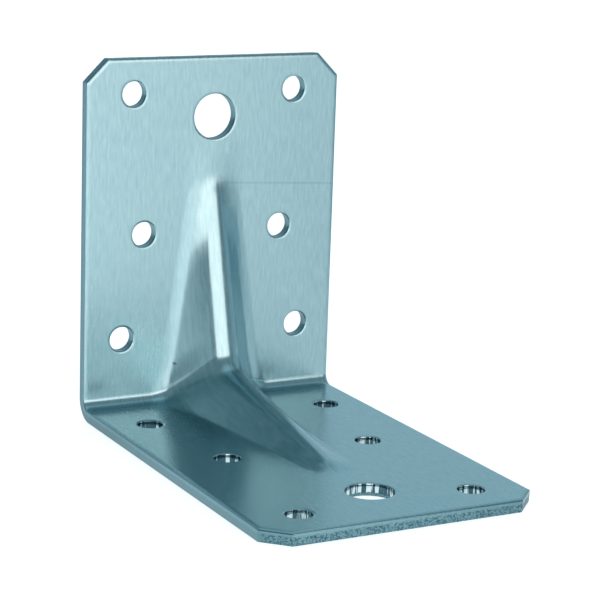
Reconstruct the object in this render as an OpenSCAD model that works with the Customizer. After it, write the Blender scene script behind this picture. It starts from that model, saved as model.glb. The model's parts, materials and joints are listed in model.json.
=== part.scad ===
// Corner brace bracket: one sheet, blanked, punched, folded to a right angle and pressed with one rib.
// The origin is the heel, at mid width: the wall leg's back lies on y = 0, the floor leg's underside on z = 0.

/* [Sheet] */
// Width of the sheet, across both legs
sheet_w = 55; // [45:1:90]
// Thickness of the sheet
sheet_t = 2.5; // [1.5:0.1:2.8]
// Radius inside the fold
fold_r = 2; // [1:0.1:4]
// Length of each cut corner, along both of its edges
corner_cut = 4.5; // [0.5:0.1:5]

/* [Legs] */
// Height of the wall leg, from the floor leg's underside
wall_h = 72; // [58:0.5:120]
// Length of the floor leg, from the wall leg's back
floor_l = 83.5; // [66:0.5:140]

/* [Holes] */
// Diameter of the nail holes
nail_d = 5; // [3:0.1:6]
// Diameter of the bolt holes
bolt_d = 9; // [6:0.1:10]
// Distance of the wall leg's bolt hole from that leg's end
wall_bolt_end = 12; // [9:0.5:20]
// Distance of the floor leg's bolt hole from that leg's end
floor_bolt_end = 14.5; // [9:0.5:24]
// Pitch of the outer nail holes, the ones beside each bolt hole
outer_pitch = 35; // [30:0.5:38]
// Pitch of the middle nail holes
middle_pitch = 30; // [28:0.5:36]
// Pitch of the inner nail holes, the ones by the fold
inner_pitch = 39; // [34:0.5:42]
// Distance of the wall leg's outer nail holes from that leg's end
wall_outer_end = 7; // [5:0.5:16]
// Distance of the floor leg's outer nail holes from that leg's end
floor_outer_end = 8.5; // [5:0.5:20]
// Height of the wall leg's middle nail holes, from the floor leg's underside
wall_middle_z = 37; // [28:0.5:46]
// Distance of the floor leg's middle nail holes from the wall leg's back
floor_middle_y = 42; // [30:0.5:54]
// Height of the wall leg's inner nail holes, from the floor leg's underside
wall_inner_z = 16; // [12:0.5:22]
// Distance of the floor leg's inner nail holes from the wall leg's back
floor_inner_y = 17; // [12:0.5:24]

/* [Rib] */
// Flat sheet left between each end of the rib and the bolt hole beyond it
rib_clear = 6.5; // [4:0.5:14]
// Half width of the rib's foot, where its two runs would meet at the fold
rib_foot = 12; // [10.5:0.1:13]
// Half width that the foot gains by flaring into the fold
rib_flare = 1.3; // [0:0.1:2]
// Length over which the foot flares, along each leg
rib_flare_l = 6; // [3:0.5:9]
// Half width of the rib's foot at its end on the wall leg
rib_top_foot = 5; // [4.4:0.1:5.6]
// Half width of the rib's foot at its end on the floor leg
rib_front_foot = 4.6; // [4:0.1:5.4]
// Rise of the crest off the wall leg, where its two runs would meet
rib_wall_rise = 9.4; // [7:0.1:10]
// Rise of the crest off the floor leg, where its two runs would meet
rib_floor_rise = 8; // [6.5:0.1:9]
// Rise of the crest where it starts to close on the wall leg
rib_top_rise = 1.4; // [1.1:0.1:1.8]
// Rise of the crest where it starts to close on the floor leg
rib_front_rise = 1.3; // [1.1:0.1:1.8]
// Length over which each end of the rib closes
rib_end_l = 6; // [4:0.5:8]
// Radius over the rib's crest, on the inside of the bracket
crest_r = 3.8; // [3.2:0.1:4.2]
// Radius at the rib's foot, on the inside of the bracket
foot_r = 4.6; // [2:0.1:5]
// Radius at the rib's foot in the fold, on the inside of the bracket
fold_foot_r = 5.8; // [3:0.1:6.4]
// Radius of the crest's curve in the corner
crest_bend_r = 8.5; // [4:0.5:12]

/* [Hidden] */

// Smoothness of holes and folds
round_fn = 96;
// Extra length of a cut past the face it goes through
past = 1;
// How far the rib's foot dips under the sheet's face, for a clean line between them
dip = 0.02;
// How far the rib's hollow runs out behind the sheet
hollow_run = 8;
// Steps along the rib: in the fold, along each run and in each closing end
fold_steps = 8;
run_steps = 16;
end_steps = 6;
// How much closer the steps of a run lie by the fold
run_crowding = 1.6;
// Steps across each half of the rib: over its crest, down its flank and round its foot
crest_steps = 5;
flank_steps = 2;
foot_steps = 4;
// Most of the room in the rib's section that its two radii take
radius_room = 0.98;
// Most of that which the crest's radius takes
crest_room = 0.8;
// The rib's last station, as a share of its closing end
last_share = 0.995;
// Step for the slopes of the rib's face
slope_step = 0.002;

// Places of the holes that are set from the legs' ends
wall_bolt_z = wall_h - wall_bolt_end;
floor_bolt_y = floor_l - floor_bolt_end;
wall_nails = [
    [outer_pitch, wall_h - wall_outer_end], [middle_pitch, wall_middle_z], [inner_pitch, wall_inner_z]];
floor_nails = [
    [outer_pitch, floor_l - floor_outer_end], [middle_pitch, floor_middle_y], [inner_pitch, floor_inner_y]];

// Reach of the rib's ends, up the wall leg and out along the floor leg, from the sheet's inner faces
rib_top = wall_bolt_z - bolt_d / 2 - rib_clear - sheet_t;
rib_front = floor_bolt_y - bolt_d / 2 - rib_clear - sheet_t;

// The rib is measured on diagonal axes in the bracket's corner. At a point that stands d in front of
// the wall leg and h above the floor leg, rise = (d + h) / sqrt(2) and lead = (h - d) / sqrt(2).
function at(x, lead, rise) = [x, -sheet_t - (rise - lead) / sqrt(2), sheet_t + (rise + lead) / sqrt(2)];

// Rise of the sheet's own face, with its fold
fold_lead = fold_r / sqrt(2);
function sheet_rise(lead) =
    abs(lead) < fold_lead ? fold_r * sqrt(2) - sqrt(fold_r ^ 2 - lead ^ 2) : abs(lead);

// Each run of the crest is a straight line in its leg's own slope
wall_taper = (rib_wall_rise - rib_top_rise) / (rib_top - rib_end_l - rib_floor_rise);
floor_taper = (rib_floor_rise - rib_front_rise) / (rib_front - rib_end_l - rib_wall_rise);
wall_slope = (1 - wall_taper) / (1 + wall_taper);
floor_slope = (1 - floor_taper) / (1 + floor_taper);
wall_angle = atan(wall_slope);
floor_angle = atan(floor_slope);
corner_lead = (rib_floor_rise - rib_wall_rise) / sqrt(2);
corner_rise = (rib_floor_rise + rib_wall_rise) / sqrt(2);
// Centre of the crest's curve, over the point where the runs would meet
bend_lead = corner_lead
    + crest_bend_r * (1 / cos(floor_angle) - 1 / cos(wall_angle)) / (wall_slope + floor_slope);
bend_rise = corner_rise + wall_slope * (bend_lead - corner_lead) + crest_bend_r / cos(wall_angle);

function crest_rise(lead) =
    lead > bend_lead + crest_bend_r * sin(wall_angle)
        ? corner_rise + wall_slope * (lead - corner_lead)
    : lead < bend_lead - crest_bend_r * sin(floor_angle)
        ? corner_rise - floor_slope * (lead - corner_lead)
    : bend_rise - sqrt(crest_bend_r ^ 2 - (lead - bend_lead) ^ 2);

// Distance of a station from the fold, along its leg, eased where it turns over in the fold
function run_to(lead) = (sqrt(lead ^ 2 + fold_r ^ 2) - fold_r) * sqrt(2);

// Share of each closing end that is behind a station, from 0 to 1
function end_share(lead) =
    let(reach = lead > 0 ? rib_top : rib_front)
    max(0, (abs(lead) * sqrt(2) - reach + rib_end_l) / rib_end_l);

// Share of the flare that is left at a station, 1 in the fold
function flare_share(lead) = max(0, 1 - run_to(lead) / rib_flare_l) ^ 2;

// Half width of the rib's foot
function foot(lead) =
    let(reach = lead > 0 ? rib_top : rib_front)
    let(end_foot = lead > 0 ? rib_top_foot : rib_front_foot)
    (rib_foot - (rib_foot - end_foot) * run_to(lead) / reach + rib_flare * flare_share(lead))
        * sqrt(max(0, 1 - end_share(lead) ^ 2));

// How squarely the crest faces the diagonal at a station
function facing(lead) =
    let(slope = (crest_rise(lead + slope_step) - crest_rise(lead - slope_step)) / (2 * slope_step))
    1 / sqrt(1 + slope ^ 2);

// Share of the crest's height that a closing end loses in its run's own slope. The rest of its fall is a curve.
function end_fall(lead) =
    lead > 0 ? wall_taper * rib_end_l / rib_top_rise : floor_taper * rib_end_l / rib_front_rise;

function crest_height(lead) =
    let(reach = lead > 0 ? rib_top : rib_front, share = min(1, end_share(lead)), fall = min(2, end_fall(lead)))
    let(run = sign(lead) * min(abs(lead), (reach - rib_end_l) / sqrt(2)))
    (crest_rise(run) - sheet_rise(run)) * facing(run) * (1 - share) * (1 + (1 - fall) * share);

// Crest radius, foot radius and flank angle of the rib's section at a station. The foot's radius gives way
// where the section has no room for both.
function section_fit(lead) =
    let(half = foot(lead), height = crest_height(lead))
    let(low = foot_r + (fold_foot_r - foot_r) * flare_share(lead))
    let(both = min(crest_r + low, radius_room * (half ^ 2 + height ^ 2) / (2 * height)))
    let(top_r = min(crest_r, crest_room * both))
    let(flank = sqrt(half ^ 2 + height ^ 2 - 2 * both * height))
    [top_r, both - top_r, atan2(height - both, half) + atan2(both, flank)];

// Height of the section at x: a round crest, a straight flank and a round foot
function section(x, lead) =
    let(half = foot(lead), height = crest_height(lead))
    x >= half ? 0 :
    let(fit = section_fit(lead), top_r = fit[0], low_r = fit[1], angle = fit[2])
    x < top_r * sin(angle) ? height - top_r + sqrt(top_r ^ 2 - x ^ 2)
    : x > half - low_r * sin(angle) ? low_r - sqrt(low_r ^ 2 - (half - x) ^ 2)
    : height - top_r * (1 - cos(angle)) - (x - top_r * sin(angle)) * tan(angle);

function face_rise(x, lead) =
    sheet_rise(lead) + section(abs(x), lead) / facing(lead);

// Unit vector out of the rib's face, towards the open corner
function face_normal(x, lead) =
    let(dx = face_rise(x + slope_step, lead) - face_rise(x - slope_step, lead))
    let(dl = face_rise(x, lead + slope_step) - face_rise(x, lead - slope_step))
    let(across = at(2 * slope_step, 0, dx) - at(0, 0, 0))
    let(along = at(0, 2 * slope_step, dl) - at(0, 0, 0))
    let(n = cross(across, along))
    n / norm(n);

// Leads of the rib's stations, from its top end down the wall leg, through the fold and out
function run_leads(reach) =
    let(run_end = (reach - rib_end_l) / sqrt(2))
    concat(
        [for (k = [1:run_steps]) fold_lead + (run_end - fold_lead) * (k / run_steps) ^ run_crowding],
        [for (k = [1:end_steps]) run_end + rib_end_l / sqrt(2) * last_share * sin(90 * k / end_steps)]);
wall_leads = run_leads(rib_top);
floor_leads = run_leads(rib_front);
leads = concat(
    [for (k = [len(wall_leads) - 1:-1:0]) wall_leads[k]],
    [for (k = [0:fold_steps]) fold_lead * (1 - 2 * k / fold_steps)],
    [for (lead = floor_leads) -lead]);

// Places across one half of a station, from the crest to the foot
function half_places(lead) =
    let(half = foot(lead), fit = section_fit(lead))
    let(top_x = fit[0] * sin(fit[2]), low_x = half - fit[1] * sin(fit[2]))
    concat(
        [for (k = [0:crest_steps]) fit[0] * sin(fit[2] * k / crest_steps)],
        [for (k = [1:1:flank_steps - 1]) top_x + (low_x - top_x) * k / flank_steps],
        [for (k = [foot_steps:-1:0]) half - fit[1] * sin(fit[2] * k / foot_steps)]);

function places(lead) =
    let(right = half_places(lead))
    concat([for (k = [len(right) - 1:-1:1]) -right[k]], right);

// The rib's inner face at a station, and the face behind it, a sheet's thickness away
function inner_row(lead) = [for (x = places(lead)) at(x, lead, face_rise(x, lead) - dip)];
function outer_row(lead) =
    [for (x = places(lead)) at(x, lead, face_rise(x, lead) - dip) - sheet_t * face_normal(x, lead)];

// Closes a row with its two ends moved back along the diagonal
function closed_row(row, back) =
    let(shift = at(0, 0, -back) - at(0, 0, 0))
    concat(row, [row[len(row) - 1] + shift, row[0] + shift]);

// Solid through a list of closed rows
module loft(rows) {
    n = len(rows[0]);
    last = (len(rows) - 1) * n;
    polyhedron(
        points = [for (row = rows) each row],
        faces = concat(
            [for (k = [0:n - 3]) [n - 1, k + 1, k]],
            [for (k = [0:n - 3]) [last + n - 1, last + k, last + k + 1]],
            [for (i = [0:len(rows) - 2]) for (k = [0:n - 1])
                let(a = i * n + k, b = i * n + (k + 1) % n, c = a + n, d = b + n)
                each k < (n - 2) / 2 ? [[a, d, c], [a, b, d]] : [[a, b, c], [b, d, c]]]));
}

module rib_bulge() {
    loft([for (lead = leads) closed_row(inner_row(lead), sheet_t / sqrt(2))]);
}

module rib_hollow() {
    loft([for (lead = leads) closed_row(outer_row(lead), hollow_run)]);
}

// Rectangle with its corner at the origin rounded
module heel_block(length, height, r) {
    translate([r, 0]) square([length - r, height]);
    translate([0, r]) square([length, height - r]);
    translate([r, r]) circle(r, $fn = round_fn);
}

// The folded sheet, seen along the fold: the floor leg forwards, the wall leg up
module sheet_side() {
    difference() {
        heel_block(floor_l, wall_h, fold_r + sheet_t);
        translate([sheet_t, sheet_t]) heel_block(floor_l, wall_h, fold_r);
    }
}

module folded_sheet() {
    rotate([90, 0, -90]) linear_extrude(height = sheet_w, center = true) sheet_side();
}

// Cuts the two free corners of a leg that stands up from z = 0 to length, with its face on y = 0
module corner_cuts(length) {
    cut = corner_cut * sqrt(2);
    for (side = [-1, 1])
        translate([side * sheet_w / 2, -sheet_t / 2, length])
            rotate([0, 45, 0])
                cube([cut, sheet_t + 2 * past, cut], center = true);
}

// Round hole through a leg that stands up from z = 0, with its face on y = 0
module hole(x, z, d) {
    translate([x, past, z]) rotate([90, 0, 0]) cylinder(h = sheet_t + 2 * past, d = d, $fn = round_fn);
}

// All that is cut out of one leg
module leg_cuts(length, bolt_z, nails) {
    corner_cuts(length);
    hole(0, bolt_z, bolt_d);
    for (row = nails)
        for (side = [-1, 1])
            hole(side * row[0] / 2, row[1], nail_d);
}

module bracket() {
    color("lightsteelblue")
        difference() {
            union() {
                folded_sheet();
                rib_bulge();
            }
            rib_hollow();
            leg_cuts(wall_h, wall_bolt_z, wall_nails);
            rotate([90, 0, 0]) mirror([0, 1, 0]) leg_cuts(floor_l, floor_bolt_y, floor_nails);
        }
}

bracket();
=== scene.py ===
import json
import math

import bpy
from mathutils import Matrix, Vector, noise

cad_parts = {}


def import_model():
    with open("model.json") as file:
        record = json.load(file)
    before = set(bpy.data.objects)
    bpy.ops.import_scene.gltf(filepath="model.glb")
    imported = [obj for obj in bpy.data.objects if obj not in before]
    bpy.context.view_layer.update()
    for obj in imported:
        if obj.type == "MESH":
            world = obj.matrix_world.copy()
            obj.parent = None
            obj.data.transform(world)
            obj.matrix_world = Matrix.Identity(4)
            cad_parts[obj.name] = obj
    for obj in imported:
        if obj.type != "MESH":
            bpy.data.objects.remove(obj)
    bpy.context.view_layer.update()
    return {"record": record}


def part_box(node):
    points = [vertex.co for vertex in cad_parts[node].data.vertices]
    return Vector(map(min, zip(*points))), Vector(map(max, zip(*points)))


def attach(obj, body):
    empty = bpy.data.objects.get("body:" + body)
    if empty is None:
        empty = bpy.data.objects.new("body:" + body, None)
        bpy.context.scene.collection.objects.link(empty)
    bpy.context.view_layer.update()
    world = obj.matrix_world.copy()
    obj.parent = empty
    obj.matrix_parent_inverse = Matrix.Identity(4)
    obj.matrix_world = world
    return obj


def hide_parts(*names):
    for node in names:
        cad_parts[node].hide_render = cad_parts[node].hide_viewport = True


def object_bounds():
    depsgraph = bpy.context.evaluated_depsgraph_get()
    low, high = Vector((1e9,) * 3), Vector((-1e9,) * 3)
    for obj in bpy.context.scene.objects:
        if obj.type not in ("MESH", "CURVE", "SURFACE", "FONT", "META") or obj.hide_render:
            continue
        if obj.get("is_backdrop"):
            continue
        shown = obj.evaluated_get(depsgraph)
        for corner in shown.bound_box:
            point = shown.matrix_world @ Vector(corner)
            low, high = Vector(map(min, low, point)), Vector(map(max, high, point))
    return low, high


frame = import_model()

# Corner brace bracket: one zinc-plated sheet, punched, folded to a right angle and pressed with one rib.
# The heel is the origin, the wall leg's back lies on y = 0 and the floor leg's underside on z = 0.

MM = 0.001

# The sheet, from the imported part
low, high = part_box("bracket")
WIDTH = high[0] - low[0]
WALL_H = high[2]
FLOOR_L = -low[1]
SHEET_T = 2.5 * MM
FOLD_R = 2 * MM
CORNER_CUT = 4.5 * MM

# The rib. Each run of its crest rises towards the corner, and its foot flares into the fold.
RIB_TOP = 46.5 * MM
RIB_FRONT = 55.5 * MM
RIB_FOOT = 12 * MM
RIB_FLARE = 1.3 * MM
RIB_FLARE_L = 6 * MM
RIB_TOP_FOOT = 5 * MM
RIB_FRONT_FOOT = 4.6 * MM
RIB_WALL_RISE = 9.4 * MM
RIB_FLOOR_RISE = 8 * MM
RIB_TOP_RISE = 1.4 * MM
RIB_FRONT_RISE = 1.3 * MM
RIB_END_L = 6 * MM
CREST_R = 3.8 * MM
FOOT_R = 4.6 * MM
FOLD_FOOT_R = 5.8 * MM
# The crest's bend is tighter here than in the part
CREST_BEND_R = 4.5 * MM
# On the floor leg the rib's foot tightens into a crease
CREASE_R = 1.3 * MM
CREASE_FROM = 2 * MM
CREASE_RUN = 9 * MM
# Most of the room in the rib's section that its two radii take, and most of that for the crest
RADIUS_ROOM = 0.98
CREST_ROOM = 0.8

# The rib's ends lose their creases, and the press lifts the sheet a little past the top one
SWELL = 0.24 * MM
SWELL_HALF_W = 6.5 * MM
FRONT_HALF_W = 5 * MM
FADE_SHARE = 0.8
FADE_LOSS = 0.3
SWELL_RUN_IN = 7 * MM
SWELL_RUN_OUT = 9 * MM

# Cut edges, from the face that the punch enters: rolled over, sheared bright, then torn
OUTLINE_ROLL = (0.95 * MM, 0.3 * MM)
HOLE_ROLL = (0.55 * MM, 0.2 * MM)
LAND_END = 0.85 * MM
TORN_SET_BACK = 0.08 * MM
TORN_ROUGH = 0.06 * MM
SIDE_ROUGH = 0.015 * MM
TORN_GRAIN = 0.35 * MM
BACK_EDGE = 0.12 * MM
ROLL_STEPS = 5
TORN_STEPS = 5
EDGE_STEP = 0.4 * MM
HOLE_SIDES = 96
CUTTER_PAST = 1 * MM

# Steps of the pressed sheet's mesh
CREST_STEPS = 8
FLANK_STEPS = 4
FOOT_STEPS = 8
SKIRT_STEPS = 10
SKIRT_W = 7 * MM
CORE_LEAST = 0.8 * MM
FOLD_STEPS = 16
RUN_STEPS = 44
RUN_CROWDING = 1.5
END_STEPS = 14
SWELL_STEPS = 12
SLOPE_STEP = 0.002 * MM
SMOOTH_ANGLE = math.radians(35)
# Lengths below which a height is none, a point is on the outline and a back lies on its plane
FLAT = 1e-7
ON_LINE = 1e-6
ON_BACK = 0.02 * MM
# Cosine to the sheet's direction above which a face is no cut edge
FACE_COSINE = 0.8

FOLD_LEAD = FOLD_R / math.sqrt(2)
HEEL_R = FOLD_R + SHEET_T


def at(x, lead, rise):
    """Point on the diagonal axes of the bracket's corner, as in the part's source."""
    return Vector((x, -SHEET_T - (rise - lead) / math.sqrt(2), SHEET_T + (rise + lead) / math.sqrt(2)))


def sheet_rise(lead):
    if abs(lead) < FOLD_LEAD:
        return FOLD_R * math.sqrt(2) - math.sqrt(FOLD_R ** 2 - lead ** 2)
    return abs(lead)


class Crest:
    """The rib's crest line, seen from the side: two straight runs and the curve between them."""

    wall_taper = (RIB_WALL_RISE - RIB_TOP_RISE) / (RIB_TOP - RIB_END_L - RIB_FLOOR_RISE)
    floor_taper = (RIB_FLOOR_RISE - RIB_FRONT_RISE) / (RIB_FRONT - RIB_END_L - RIB_WALL_RISE)
    wall_slope = (1 - wall_taper) / (1 + wall_taper)
    floor_slope = (1 - floor_taper) / (1 + floor_taper)
    wall_angle = math.atan(wall_slope)
    floor_angle = math.atan(floor_slope)
    corner_lead = (RIB_FLOOR_RISE - RIB_WALL_RISE) / math.sqrt(2)
    corner_rise = (RIB_FLOOR_RISE + RIB_WALL_RISE) / math.sqrt(2)
    bend_lead = corner_lead + CREST_BEND_R * (
        1 / math.cos(floor_angle) - 1 / math.cos(wall_angle)) / (wall_slope + floor_slope)
    bend_rise = corner_rise + wall_slope * (bend_lead - corner_lead) + CREST_BEND_R / math.cos(wall_angle)

    @classmethod
    def rise(cls, lead):
        if lead > cls.bend_lead + CREST_BEND_R * math.sin(cls.wall_angle):
            return cls.corner_rise + cls.wall_slope * (lead - cls.corner_lead)
        if lead < cls.bend_lead - CREST_BEND_R * math.sin(cls.floor_angle):
            return cls.corner_rise - cls.floor_slope * (lead - cls.corner_lead)
        return cls.bend_rise - math.sqrt(CREST_BEND_R ** 2 - (lead - cls.bend_lead) ** 2)

    @classmethod
    def facing(cls, lead):
        slope = (cls.rise(lead + SLOPE_STEP) - cls.rise(lead - SLOPE_STEP)) / (2 * SLOPE_STEP)
        return 1 / math.sqrt(1 + slope ** 2)


def ease(share):
    """Smooth step from 0 to 1."""
    share = min(1, max(0, share))
    return share * share * (3 - 2 * share)


def bell(x, half):
    """Smooth hump: 1 at 0, and 0 from half on."""
    return max(0, 1 - (x / half) ** 2) ** 2


def reach(lead):
    return RIB_TOP if lead > 0 else RIB_FRONT


def run_to(lead):
    """Distance of a station from the fold, along its leg."""
    return (math.sqrt(lead ** 2 + FOLD_R ** 2) - FOLD_R) * math.sqrt(2)


def end_share(lead):
    """Share of each closing end that is behind a station, from 0 to 1."""
    share = (abs(lead) * math.sqrt(2) - reach(lead) + RIB_END_L) / RIB_END_L
    return min(1, max(0, share))


def flare_share(lead):
    return max(0, 1 - run_to(lead) / RIB_FLARE_L) ** 2


def foot(lead):
    """Half width of the rib's foot."""
    end_foot = RIB_TOP_FOOT if lead > 0 else RIB_FRONT_FOOT
    width = RIB_FOOT - (RIB_FOOT - end_foot) * run_to(lead) / reach(lead) + RIB_FLARE * flare_share(lead)
    return width * math.sqrt(1 - end_share(lead) ** 2)


def crest_height(lead):
    """Height of the crest over the sheet. Each end closes in its run's own slope."""
    taper, end_rise = (Crest.wall_taper, RIB_TOP_RISE) if lead > 0 else (Crest.floor_taper, RIB_FRONT_RISE)
    fall = taper * RIB_END_L / end_rise
    run = math.copysign(min(abs(lead), (reach(lead) - RIB_END_L) / math.sqrt(2)), lead)
    share = end_share(lead)
    return (Crest.rise(run) - sheet_rise(run)) * Crest.facing(run) * (1 - share) * (1 + (1 - fall) * share)


def section_fit(lead):
    """Crest radius, foot radius, flank angle and half width of the rib's section at a station."""
    half = foot(lead)
    height = crest_height(lead)
    if half < FLAT or height < FLAT:
        return 0, 0, 0, half
    low_r = FOOT_R + (FOLD_FOOT_R - FOOT_R) * flare_share(lead)
    both = min(CREST_R + low_r, RADIUS_ROOM * (half ** 2 + height ** 2) / (2 * height))
    top_r = min(CREST_R, CREST_ROOM * both)
    flank = math.sqrt(half ** 2 + height ** 2 - 2 * both * height)
    angle = math.atan2(height - both, half) + math.atan2(both, flank)
    crease = ease((run_to(lead) - CREASE_FROM) / CREASE_RUN) if lead < 0 else 0
    tighter = max(0, both - top_r - CREASE_R) * crease
    return top_r, both - top_r - tighter, angle, half - tighter * math.tan(angle / 2)


def section(x, lead):
    """Height of the rib's section at x: a round crest, a straight flank and a round foot."""
    top_r, low_r, angle, half = section_fit(lead)
    if x >= half or not angle:
        return 0
    if x < top_r * math.sin(angle):
        return crest_height(lead) - top_r + math.sqrt(top_r ** 2 - x ** 2)
    if x > half - low_r * math.sin(angle):
        return low_r - math.sqrt(low_r ** 2 - (half - x) ** 2)
    fall = top_r * (1 - math.cos(angle)) + (x - top_r * math.sin(angle)) * math.tan(angle)
    return crest_height(lead) - fall


def swell(x, lead):
    """Lift of the sheet about the rib's top end."""
    up = lead * math.sqrt(2) - RIB_TOP
    if up < -SWELL_RUN_IN or up > SWELL_RUN_OUT or abs(x) > SWELL_HALF_W:
        return 0
    along = ease(1 - up / SWELL_RUN_OUT) if up > 0 else ease(1 + up / SWELL_RUN_IN)
    return SWELL * along * bell(x, SWELL_HALF_W)


def pressed_height(x, lead):
    """Height of the pressed form over the sheet. Both ends of the rib lose their creases and fade out."""
    share = end_share(lead)
    fade = ease(share / FADE_SHARE)
    rib = section(abs(x), lead)
    if fade:
        soft = crest_height(lead) * bell(x, SWELL_HALF_W if lead > 0 else FRONT_HALF_W)
        rib = (rib + (soft - rib) * fade) * (1 - FADE_LOSS * fade) * (1 - share ** 3)
    return rib + swell(x, lead)


def face_point(x, lead):
    """Point of the sheet's inner face."""
    return at(x, lead, sheet_rise(lead) + pressed_height(x, lead) / Crest.facing(lead))


def spaced(start, end, steps, power=1):
    """Steps from start, left out, to end. A power above 1 crowds them by the start."""
    return [start + (end - start) * (k / steps) ** power for k in range(1, steps + 1)]


def rib_stations(rib_reach):
    """Leads from the fold out to one end of the rib."""
    run_end = (rib_reach - RIB_END_L) / math.sqrt(2)
    closing = [run_end + RIB_END_L / math.sqrt(2) * math.sin(math.pi / 2 * k / END_STEPS)
               for k in range(1, END_STEPS + 1)]
    return spaced(FOLD_LEAD, run_end, RUN_STEPS, RUN_CROWDING) + closing


def stations():
    """Leads of the mesh's rows, from the floor leg's free end through the fold to the wall leg's."""
    floor = rib_stations(RIB_FRONT) + [(FLOOR_L - SHEET_T) / math.sqrt(2)]
    wall = rib_stations(RIB_TOP)
    wall += spaced(wall[-1], wall[-1] + SWELL_RUN_OUT / math.sqrt(2), SWELL_STEPS)
    wall += [(WALL_H - SHEET_T) / math.sqrt(2)]
    fold = [FOLD_LEAD * (2 * k / FOLD_STEPS - 1) for k in range(FOLD_STEPS + 1)]
    return [-lead for lead in reversed(floor)] + fold + wall


def columns(lead):
    """Places across one station, from the left edge to the right: the rib's section, a skirt and the edge."""
    top_r, low_r, angle, half = section_fit(lead)
    half = max(half, CORE_LEAST)
    top_x = top_r * math.sin(angle) if angle else half / 4
    low_x = half - low_r * math.sin(angle) if angle else half / 2
    right = [top_x * math.sin(math.pi / 2 * k / CREST_STEPS) for k in range(CREST_STEPS + 1)]
    right += spaced(top_x, low_x, FLANK_STEPS)
    right += spaced(low_x, half, FOOT_STEPS)
    right += spaced(half, half + SKIRT_W, SKIRT_STEPS)
    right += [WIDTH / 2]
    return [-x for x in reversed(right[1:])] + right


# Places on the sheet. Depth runs through it, from the inner face to the outer one.
def through(p):
    """How deep a point lies in the sheet, and the direction from the inner face to the outer one."""
    out = Vector((0, max(p.y + HEEL_R, 0), min(p.z - HEEL_R, 0)))
    return out.length - FOLD_R, out.normalized()


def outline_lines(p):
    """Outward direction of each outline line near a point, and how far inside it the point lies."""
    side = Vector((math.copysign(1, p.x), 0, 0))
    wall = p.z > -p.y
    end = Vector((0, 0, 1)) if wall else Vector((0, -1, 0))
    from_side = WIDTH / 2 - abs(p.x)
    from_end = WALL_H - p.z if wall else FLOOR_L + p.y
    from_cut = (from_side + from_end - CORNER_CUT) / math.sqrt(2)
    return [(side, from_side), (end, from_end), ((side + end).normalized(), from_cut)]


def outward(p):
    """Direction in which an outline's point moves so that each line through it moves by one unit."""
    lines = [way for way, inside in outline_lines(p) if inside < ON_LINE]
    if not lines:
        return Vector()
    if len(lines) == 1:
        return lines[0]
    return (lines[0] + lines[1]) / (1 + lines[0].dot(lines[1]))


def torn(p, depth):
    """Roughness of the torn part of a cut edge."""
    on_end = p.z > WALL_H - CORNER_CUT or p.y < CORNER_CUT - FLOOR_L
    rough = TORN_ROUGH if on_end else SIDE_ROUGH
    return rough * ease((depth - LAND_END) / (SHEET_T / 3)) * noise.noise(p / TORN_GRAIN)


def edge_rows(roll):
    """Depth and set-back of each row of a cut edge, from the inner face to the outer one."""
    width, deep = roll
    turns = [math.pi / 2 * k / ROLL_STEPS for k in range(ROLL_STEPS + 1)]
    rows = [(deep * (1 - math.cos(turn)), width * (1 - math.sin(turn))) for turn in turns]
    rows.append((LAND_END, 0))
    rows += [(LAND_END + (SHEET_T - BACK_EDGE - LAND_END) * k / TORN_STEPS, TORN_SET_BACK * k / TORN_STEPS)
             for k in range(1, TORN_STEPS + 1)]
    rows.append((SHEET_T, TORN_SET_BACK + BACK_EDGE))
    return rows


# Modelling steps
def deselect():
    if bpy.context.object and bpy.context.object.mode != "OBJECT":
        bpy.ops.object.mode_set(mode="OBJECT")
    bpy.ops.object.select_all(action="DESELECT")


def make_active(piece):
    deselect()
    piece.select_set(True)
    bpy.context.view_layer.objects.active = piece


def edit(piece, kind, test, operation, **settings):
    """Runs an operator of edit mode on the piece's faces or edges that pass a test."""
    make_active(piece)
    mesh = piece.data
    for items in (mesh.polygons, mesh.edges, mesh.vertices):
        items.foreach_set("select", [False] * len(items))
    items = mesh.polygons if kind == "FACE" else mesh.edges
    items.foreach_set("select", [bool(test(item)) for item in items])
    bpy.context.tool_settings.mesh_select_mode = (False, kind == "EDGE", kind == "FACE")
    bpy.ops.object.mode_set(mode="EDIT")
    operation(**settings)
    bpy.ops.object.mode_set(mode="OBJECT")


def finish_modifier(piece, kind, **settings):
    modifier = piece.modifiers.new(kind.title(), kind)
    for name, value in settings.items():
        setattr(modifier, name, value)
    make_active(piece)
    bpy.ops.object.modifier_apply(modifier=modifier.name)


def pressed_face():
    """The sheet's inner face, folded and pressed."""
    rows = stations()
    across = len(columns(rows[0]))
    bpy.ops.mesh.primitive_grid_add(x_subdivisions=across - 1, y_subdivisions=len(rows) - 1, size=1)
    piece = bpy.context.object
    piece.name = piece.data.name = "bracket_sheet"
    places = [columns(lead) for lead in rows]
    for vertex in piece.data.vertices:
        column = round((vertex.co.x + 0.5) * (across - 1))
        row = round((vertex.co.y + 0.5) * (len(rows) - 1))
        vertex.co = face_point(places[row][column], rows[row])
    return piece


def join_flats(piece):
    """Makes each leg's flat one face."""
    corners = piece.data.vertices

    def flat(face):
        points = [corners[i].co for i in face.vertices]
        on_wall = all(abs(p.y + SHEET_T) < FLAT and p.z > HEEL_R - FLAT for p in points)
        on_floor = all(abs(p.z - SHEET_T) < FLAT and p.y < FLAT - HEEL_R for p in points)
        return on_wall or on_floor

    edit(piece, "FACE", flat, bpy.ops.mesh.dissolve_faces, use_verts=True)


def cut_corners(piece):
    """Cuts the free corners off both legs."""
    for side in (-1, 1):
        for end, place in ((Vector((0, 0, 1)), WALL_H), (Vector((0, -1, 0)), FLOOR_L)):
            edit(piece, "FACE", lambda face: True, bpy.ops.mesh.bisect,
                 plane_co=end * place + Vector((side * (WIDTH / 2 - CORNER_CUT), 0, 0)),
                 plane_no=(end + Vector((side, 0, 0))).normalized(),
                 clear_outer=True)


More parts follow.
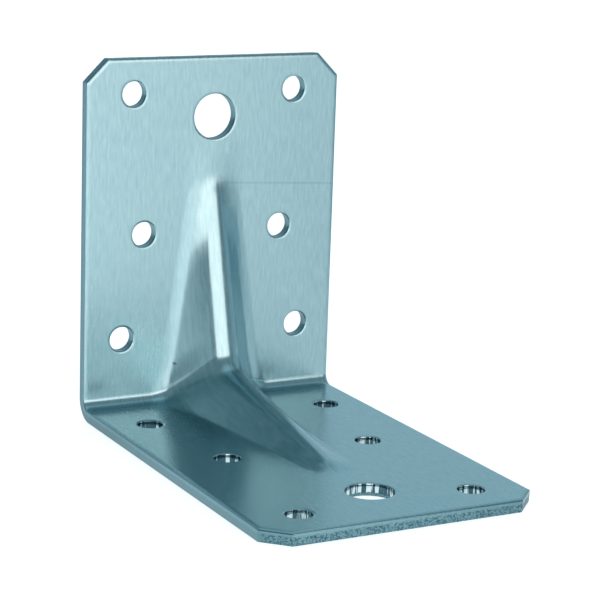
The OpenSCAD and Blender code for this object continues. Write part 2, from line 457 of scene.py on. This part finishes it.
def divide_outline(piece):
    """Divides the outline's long edges into even steps."""
    while True:
        mesh = piece.data
        corners = mesh.vertices
        open_edges = {}
        for face in mesh.polygons:
            for key in face.edge_keys:
                open_edges[key] = open_edges.get(key, 0) + 1
        lengths = {edge.index: (corners[edge.vertices[0]].co - corners[edge.vertices[1]].co).length
                   for edge in mesh.edges if open_edges[edge.key] == 1}
        longest = max(lengths, key=lengths.get)
        if lengths[longest] < 2 * EDGE_STEP:
            return
        edit(piece, "EDGE", lambda edge: edge.index == longest, bpy.ops.mesh.subdivide,
             number_cuts=round(lengths[longest] / EDGE_STEP) - 1)


def thicken(piece):
    """Gives the sheet its thickness, and lays its flat backs on their planes."""
    finish_modifier(piece, "SOLIDIFY", thickness=SHEET_T, offset=-1, use_even_offset=True,
                    use_quality_normals=True)
    for vertex in piece.data.vertices:
        if abs(vertex.co.y) < ON_BACK:
            vertex.co.y = 0
        if abs(vertex.co.z) < ON_BACK:
            vertex.co.z = 0


def shape_outline(piece):
    """Divides the cut edge through its thickness and gives it its rolled, sheared and torn rows."""
    rows = edge_rows(OUTLINE_ROLL)
    corners = piece.data.vertices

    def crosses(edge):
        a, b = (corners[i].co for i in edge.vertices)
        return outward(a).length > 0 and abs(through(a)[0] - through(b)[0]) > SHEET_T / 2

    edit(piece, "EDGE", crosses, bpy.ops.mesh.subdivide, number_cuts=len(rows) - 2)
    for vertex in piece.data.vertices:
        way = outward(vertex.co)
        if way.length:
            depth, inward = through(vertex.co)
            new_depth, set_back = rows[round(depth / SHEET_T * (len(rows) - 1))]
            place = vertex.co + inward * (new_depth - depth)
            vertex.co = place - way * (set_back + abs(torn(place, new_depth)))


def holes():
    """Centre on the sheet's inner face, axis out of that face and radius of each hole."""
    found = []
    for mount in frame["record"]["mounts"]:
        axis = Vector(mount["axis"])
        middle = Vector(mount["pos_m"]) + axis * SHEET_T / 2
        dims = mount["dims"]
        if mount["kind"] == "bore":
            found.append((middle, axis, dims["r_mm"] * MM))
        if mount["kind"] == "bolt_pattern":
            for side in (-0.5, 0.5):
                away = Vector((side * dims["spacing_x_mm"] * MM, 0, 0))
                found.append((middle + away, axis, dims["hole_r_mm"] * MM))
    return found


def punch(centre, axis, radius):
    """The punch's cut for one hole, with the rolled, sheared and torn rows of a cut edge."""
    rows = edge_rows(HOLE_ROLL)
    rows = [(-CUTTER_PAST, rows[0][1])] + rows + [(SHEET_T + CUTTER_PAST, rows[-1][1])]
    deselect()
    bpy.ops.mesh.primitive_cylinder_add(vertices=HOLE_SIDES, radius=1, depth=1)
    piece = bpy.context.object
    corners = piece.data.vertices

    def upright(edge):
        start, end = (corners[i].co for i in edge.vertices)
        return abs(start.z - end.z) > 0.5

    edit(piece, "EDGE", upright, bpy.ops.mesh.subdivide, number_cuts=len(rows) - 2)
    turn = axis.to_track_quat("Z", "Y").to_matrix()
    for vertex in piece.data.vertices:
        depth, set_back = rows[round((0.5 - vertex.co.z) * (len(rows) - 1))]
        out = turn @ Vector((vertex.co.x, vertex.co.y, 0))
        place = centre - axis * depth + out * radius
        vertex.co = place + out * (set_back + abs(torn(place, depth)))
    return piece


def cut_holes(piece):
    deselect()
    cutters = [punch(*hole) for hole in holes()]
    deselect()
    for cutter in cutters:
        cutter.select_set(True)
    bpy.context.view_layer.objects.active = cutters[0]
    bpy.ops.object.join()
    finish_modifier(piece, "BOOLEAN", operation="DIFFERENCE", solver="EXACT", object=cutters[0])
    bpy.data.objects.remove(cutters[0])


def on_cut_edge(face, punched):
    """Whether a face belongs to the cut edge of the outline or of a punched hole."""
    point = face.center
    if abs(face.normal.dot(through(point)[1])) > FACE_COSINE:
        return False
    if min(inside for _, inside in outline_lines(point)) < OUTLINE_ROLL[0]:
        return True
    for centre, axis, radius in punched:
        off = point - centre
        above = off.dot(axis)
        if abs(above) < 2 * SHEET_T and (off - axis * above).length < radius + HOLE_ROLL[0]:
            return True
    return False


def bracket_sheet():
    deselect()
    piece = pressed_face()
    join_flats(piece)
    cut_corners(piece)
    divide_outline(piece)
    thicken(piece)
    shape_outline(piece)
    cut_holes(piece)
    make_active(piece)
    bpy.ops.object.shade_smooth_by_angle(angle=SMOOTH_ANGLE)
    finish_modifier(piece, "WEIGHTED_NORMAL", keep_sharp=True, weight=50)
    piece.data.materials.append(rolled_zinc())
    piece.data.materials.append(cut_zinc())
    punched = holes()
    for face in piece.data.polygons:
        face.material_index = int(on_cut_edge(face, punched))
    return piece


# Materials
class Value:
    """A number that varies over a surface, with the arithmetic of plain numbers."""

    def __init__(self, recipe, socket):
        self.recipe = recipe
        self.socket = socket

    def __add__(self, other):
        return self.recipe.math("ADD", self, other)

    def __radd__(self, other):
        return self.recipe.math("ADD", other, self)

    def __sub__(self, other):
        return self.recipe.math("SUBTRACT", self, other)

    def __rsub__(self, other):
        return self.recipe.math("SUBTRACT", other, self)

    def __mul__(self, other):
        return self.recipe.math("MULTIPLY", self, other)

    def __truediv__(self, other):
        return self.recipe.math("DIVIDE", self, other)


class Recipe:
    """The nodes of one material or world."""

    def __init__(self, tree):
        self.tree = tree
        tree.nodes.clear()

    def node(self, kind, settings, inputs, output=0):
        """Adds a node, sets it, fills its sockets with values or links, and returns one of its outputs."""
        made = self.tree.nodes.new(kind)
        for name, value in settings.items():
            setattr(made, name, value)
        for name, value in inputs.items():
            if isinstance(value, Value):
                self.tree.links.new(value.socket, made.inputs[name])
            else:
                made.inputs[name].default_value = value
        return Value(self, made.outputs[output]) if made.outputs else made

    def place(self):
        """The point on the piece, in metres."""
        return self.node("ShaderNodeTexCoord", {}, {}, "Object")

    def parts(self, vector):
        """The three numbers of a vector."""
        first = self.node("ShaderNodeSeparateXYZ", {}, {0: vector})
        return [Value(self, socket) for socket in first.socket.node.outputs]

    def vector(self, x, y, z=0.0):
        return self.node("ShaderNodeCombineXYZ", {}, {"X": x, "Y": y, "Z": z})

    def math(self, operation, first, second=0.0):
        return self.node("ShaderNodeMath", {"operation": operation}, {0: first, 1: second})

    def clamp(self, value):
        return self.node("ShaderNodeClamp", {}, {"Value": value, "Min": 0.0, "Max": 1.0})

    def step(self, value, start, end):
        """0 below start, 1 above end, smooth between them."""
        return self.node("ShaderNodeMapRange", {"interpolation_type": "SMOOTHSTEP"},
                         {"Value": value, "From Min": start, "From Max": end})

    def noise(self, vector, scale, detail, roughness):
        return self.node("ShaderNodeTexNoise", {},
                         {"Vector": vector, "Scale": scale, "Detail": detail, "Roughness": roughness})

    def mix(self, factor, first, second):
        """Mixes two colours, through the colour sockets of a mix node."""
        return self.node("ShaderNodeMix", {"data_type": "RGBA"}, {"Factor": factor, 6: first, 7: second}, 2)


def material(name):
    made = bpy.data.materials.new(name)
    made.use_nodes = True
    return made, Recipe(made.node_tree)


def in_sheet(recipe):
    """Coordinates of a point, and how deep it lies in the sheet, as in through()."""
    x, y, z = recipe.parts(recipe.place())
    back = recipe.math("MAXIMUM", y + HEEL_R, 0.0)
    under = recipe.math("MINIMUM", z - HEEL_R, 0.0)
    return x, y, z, recipe.math("SQRT", back * back + under * under) - FOLD_R


# Rolled face. Scales are across the sheet and along it, per metre.
STREAK_SCALE = (2000, 330)
STREAK_CONTRAST = 1.5
STREAK_RELIEF = 0.03 * MM
CLOUD_SCALE = (60, 25)
CLOUD_CONTRAST = 0.4
ZINC_DARK = (0.265, 0.45, 0.50, 1)
ZINC_LIGHT = (0.41, 0.605, 0.64, 1)
ZINC_ROUGHNESS = 0.25
ROUGHNESS_SPREAD = 0.1

# Marks on the inner face: a faint line that the press leaves across the wall, drawn as painted shade of the
# sheet's slight bend along it, and a nick by the rib's foot
PRESS_LINE_Z = 46.66 * MM
PRESS_LINE_TILT = 0.0587
PRESS_LINE_HALF_W = 0.4 * MM
PRESS_LINE_PAINTED_SHADE = 0.15
NICK = (-8.3 * MM, 10.2 * MM)
NICK_R = 0.45 * MM
NICK_SHADE = 0.7
NICK_AND_PAINTED_SHADE_COLOUR = (0.03, 0.12, 0.17, 1)
ON_FACE_DEPTH = 0.3 * MM

# Cut edge
SCORE_SCALE = 1100
SCORE_SCALE_DEEP = 60
GRAIN_SCALE = 3000.0
CUT_RELIEF = 0.3 * MM
CUT_ROUGHNESS = 0.15
TORN_ROUGHER = 0.25
TORN_FROM_SPREAD = 0.8 * MM
HOLE_CONTRAST = 0.6
SIDE_LIGHTER = 0.15
TORN_DARK = (0.035, 0.11, 0.14, 1)
TORN_LIGHT = (0.21, 0.38, 0.43, 1)
# Painted glints and painted dark reflections on the sheared land inside the floor leg's holes
PAINTED_DARK_REFLECTION = (0.05, 0.12, 0.15, 1)
PAINTED_GLINT = (0.7, 0.84, 0.87, 1)
LAND_ON_SIDE = (0.14, 0.29, 0.34, 1)
LAND_ON_END = (0.16, 0.3, 0.34, 1)


def rolled_zinc():
    """Blue zinc plating over sheet with the mill's fine streaks along it."""
    made, recipe = material("rolled_zinc")
    x, y, z, depth = in_sheet(recipe)
    run = z - y
    streaks = recipe.noise(recipe.vector(x * STREAK_SCALE[0], run * STREAK_SCALE[1]), 1.0, 3.0, 0.6)
    clouds = recipe.noise(recipe.vector(x * CLOUD_SCALE[0], run * CLOUD_SCALE[1]), 1.0, 3.0, 0.55)
    tone = recipe.clamp(0.5 + (streaks - 0.5) * STREAK_CONTRAST + (clouds - 0.5) * CLOUD_CONTRAST)
    colour = recipe.mix(tone, ZINC_DARK, ZINC_LIGHT)
    # Painted shade: a thin darker line right of the rib, along the press's edge where the sheet bends
    # slightly
    off_line = recipe.math("ABSOLUTE", z + x * PRESS_LINE_TILT - PRESS_LINE_Z)
    right_of_rib = recipe.step(x, 0.5 * MM, 2.5 * MM)
    line = (1 - recipe.step(off_line, 0.0, PRESS_LINE_HALF_W)) * right_of_rib
    nick_x = x - NICK[0]
    nick_z = z - NICK[1]
    off_nick = recipe.math("SQRT", nick_x * nick_x + nick_z * nick_z)
    nick = 1 - recipe.step(off_nick, NICK_R / 3, NICK_R)
    on_face = 1 - recipe.step(depth, ON_FACE_DEPTH, 2 * ON_FACE_DEPTH)
    # Darkens the face with the press line's painted shade and with the nick, a real mark
    nick_and_painted_shade = recipe.clamp(line * PRESS_LINE_PAINTED_SHADE + nick * NICK_SHADE) * on_face
    colour = recipe.mix(nick_and_painted_shade, colour, NICK_AND_PAINTED_SHADE_COLOUR)
    rough = ZINC_ROUGHNESS + (clouds - 0.5) * ROUGHNESS_SPREAD + (streaks - 0.5) * ROUGHNESS_SPREAD
    bump = recipe.node("ShaderNodeBump", {}, {"Strength": 0.25, "Distance": STREAK_RELIEF, "Height": streaks})
    shader = recipe.node("ShaderNodeBsdfPrincipled", {}, {
        "Base Color": colour, "Metallic": 1.0, "Roughness": rough, "Normal": bump})
    recipe.node("ShaderNodeOutputMaterial", {}, {"Surface": shader})
    return made


def cut_zinc():
    """Plating over the cut edges: a bright sheared band, then a torn, grainy one. In the floor leg's holes
    the sheared band carries painted glints and painted dark reflections.
    """
    made, recipe = material("cut_zinc")
    x, y, z, depth = in_sheet(recipe)
    at_end = recipe.math("MAXIMUM", recipe.step(z, WALL_H - CORNER_CUT, WALL_H - CORNER_CUT + MM),
                         recipe.step(y, CORNER_CUT - FLOOR_L, CORNER_CUT - FLOOR_L - MM))
    in_floor = recipe.step(0 - y - z, 0.0, MM)
    in_hole = recipe.step(WIDTH / 2 - recipe.math("ABSOLUTE", x), MM, 2 * MM) * (1 - at_end) * in_floor
    grain = recipe.noise(recipe.place(), GRAIN_SCALE, 2.0, 0.6)
    along = recipe.math("MAXIMUM", z, 0 - y)
    score_place = recipe.vector(x * SCORE_SCALE, along * SCORE_SCALE, depth * SCORE_SCALE_DEEP)
    scores = recipe.noise(score_place, 1.0, 2.0, 0.6)
    uneven_depth = depth + (scores - 0.5) * TORN_FROM_SPREAD - in_hole * MM
    torn_share = recipe.step(uneven_depth, LAND_END - 0.1 * MM, LAND_END + 0.15 * MM)
    speck = recipe.step(grain, 0.3, 0.7)
    contrast = recipe.math("MAXIMUM", at_end, in_hole * HOLE_CONTRAST)
    torn_tone = 0.5 + (speck - 0.5) * contrast + (1 - contrast) * SIDE_LIGHTER
    torn_colour = recipe.mix(torn_tone, TORN_DARK, TORN_LIGHT)
    # Painted highlight and painted reflection: bright and dark bars on the land of the floor leg's holes
    painted_glints_and_reflections = recipe.mix(recipe.step(scores, 0.48, 0.57), PAINTED_DARK_REFLECTION, PAINTED_GLINT)
    land_colour = recipe.mix(in_hole, recipe.mix(at_end, LAND_ON_SIDE, LAND_ON_END), painted_glints_and_reflections)
    colour = recipe.mix(torn_share, land_colour, torn_colour)
    height = grain * torn_share * contrast * 0.4 + scores * (1 - torn_share) * (0.1 + in_hole * 0.9)
    bump = recipe.node("ShaderNodeBump", {}, {"Strength": 0.6, "Distance": CUT_RELIEF, "Height": height})
    shader = recipe.node("ShaderNodeBsdfPrincipled", {}, {
        "Base Color": colour, "Metallic": 1.0, "Roughness": CUT_ROUGHNESS + torn_share * TORN_ROUGHER,
        "Normal": bump})
    recipe.node("ShaderNodeOutputMaterial", {}, {"Surface": shader})
    return made


# Stage. Places and sizes are in metres.
AMBIENT = 0.32
WORLD_COLOUR = (0.74, 1, 1.12, 1)
BEHIND = (0.465, 0.855, 0.23)
FLOOR_GLOW = 0.75
FLOOR_SIZE = 20
# The floor that the metal mirrors is darker off the way to the camera, most to the right, and far away
TO_CAMERA = (-0.31, -0.95)
TO_CAMERA_COSINES = (0.66, 0.97)
LEFT_TO_RIGHT = (-0.05, 0.05)
FAR = (0.3, 0.6)
FAR_SHARE = 0.4
MIRROR_DIM = 0.42
LAMP_AIM = Vector((0, -0.03, 0.03))
LAMP_COLOUR = (1.25, 1, 0.93)


def floor():
    deselect()
    bpy.ops.mesh.primitive_plane_add(size=FLOOR_SIZE)
    piece = bpy.context.object
    piece.name = "floor"
    made, recipe = material("pale_floor")
    camera_ray, glossy_ray, transmission_ray = (
        recipe.node("ShaderNodeLightPath", {}, {}, "Is " + kind + " Ray")
        for kind in ("Camera", "Glossy", "Transmission"))
    seen = recipe.clamp(camera_ray + glossy_ray + transmission_ray)
    x, y, _ = recipe.parts(recipe.place())
    away = recipe.math("SQRT", x * x + y * y)
    in_front = (x * TO_CAMERA[0] + y * TO_CAMERA[1]) / away
    aside = (1 - recipe.step(in_front, *TO_CAMERA_COSINES)) * (0.5 + recipe.step(x, *LEFT_TO_RIGHT) * 0.5)
    dim = recipe.clamp(aside + recipe.step(away, *FAR) * FAR_SHARE)
    fade = 1 - dim * glossy_ray * MIRROR_DIM
    shader = recipe.node("ShaderNodeBsdfPrincipled", {}, {
        "Base Color": (0.8, 0.8, 0.8, 1), "Roughness": 0.35,
        "Emission Color": (1, 1, 1, 1), "Emission Strength": seen * fade * FLOOR_GLOW})
    recipe.node("ShaderNodeOutputMaterial", {}, {"Surface": shader})
    piece.data.materials.append(made)
    piece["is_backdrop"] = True


def card(name, place, width, height):
    """Pale card to the bracket's right that faces it. The metal mirrors it, and the camera doesn't see it."""
    deselect()
    bpy.ops.mesh.primitive_plane_add(size=1)
    piece = bpy.context.object
    piece.name = name
    piece.scale = (width, height, 1)
    piece.location = place
    piece.rotation_mode = "QUATERNION"
    piece.rotation_quaternion = Vector((-1, 0, 0)).to_track_quat("Z", "Y")
    piece.visible_camera = False
    piece.visible_shadow = False
    made, recipe = material(name)
    shader = recipe.node("ShaderNodeBsdfPrincipled", {}, {
        "Base Color": (0.72, 0.88, 0.93, 1), "Roughness": 0.9,
        "Emission Color": (0.75, 1, 1.1, 1), "Emission Strength": 0.12})
    recipe.node("ShaderNodeOutputMaterial", {}, {"Surface": shader})
    piece.data.materials.append(made)
    piece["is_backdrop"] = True


def world():
    made = bpy.data.worlds.new("studio")
    bpy.context.scene.world = made
    made.use_nodes = True
    recipe = Recipe(made.node_tree)
    x, y, z = recipe.parts(recipe.node("ShaderNodeTexCoord", {}, {}, "Generated"))
    behind = recipe.step(x * BEHIND[0] + y * BEHIND[1] + z * BEHIND[2], 0.5, 1.0)
    above = recipe.step(z, 0.8, 1.0)
    background = recipe.node("ShaderNodeBackground", {}, {
        "Color": WORLD_COLOUR, "Strength": AMBIENT + behind * 0.3 + above * 0.3})
    recipe.node("ShaderNodeOutputWorld", {}, {"Surface": background})


def lamp(name, place, size, radiance):
    """Softbox that faces the bracket. Its power gives the brightness that the metal mirrors."""
    data = bpy.data.lights.new(name, "AREA")
    data.shape = "RECTANGLE"
    data.size, data.size_y = size
    data.energy = radiance * math.pi * size[0] * size[1]
    data.color = LAMP_COLOUR
    made = bpy.data.objects.new(name, data)
    made.location = place
    made.rotation_mode = "QUATERNION"
    made.rotation_quaternion = (LAMP_AIM - Vector(place)).to_track_quat("-Z", "Y")
    made.visible_camera = False
    bpy.context.scene.collection.objects.link(made)


# The camera, worked out from the photo's outline and holes
CAMERA_PLACE = Vector((-182.4, -377.68, 121.56)) * MM
CAMERA_YAW = math.radians(-28.41)
CAMERA_PITCH = math.radians(-13.29)
CAMERA_ROLL = math.radians(1.95)
CAMERA_LENS = 126.8


def camera():
    look = Vector((-math.sin(CAMERA_YAW) * math.cos(CAMERA_PITCH),
                   math.cos(CAMERA_YAW) * math.cos(CAMERA_PITCH),
                   math.sin(CAMERA_PITCH)))
    right = Vector((math.cos(CAMERA_YAW), math.sin(CAMERA_YAW), 0))
    up = right.cross(look)
    rolled_right = right * math.cos(CAMERA_ROLL) + up * math.sin(CAMERA_ROLL)
    rolled_up = up * math.cos(CAMERA_ROLL) - right * math.sin(CAMERA_ROLL)
    data = bpy.data.cameras.new("camera")
    data.lens = CAMERA_LENS
    data.sensor_width = 36
    data.clip_start = 0.01
    data.clip_end = 100
    made = bpy.data.objects.new("camera", data)
    turn = Matrix((rolled_right, rolled_up, -look)).transposed()
    made.matrix_world = Matrix.Translation(CAMERA_PLACE) @ turn.to_4x4()
    bpy.context.scene.collection.objects.link(made)
    bpy.context.scene.camera = made


camera()
sheet = bracket_sheet()
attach(sheet, "root")
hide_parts("bracket")
floor()
world()
card("right_card", (0.16, -0.02, 0.06), 0.14, 0.12)
lamp("front_softbox", (-0.2, -1.3, 0.32), (2.1, 0.54), 1.75)
bpy.context.scene.view_settings.view_transform = "Standard"

low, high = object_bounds()
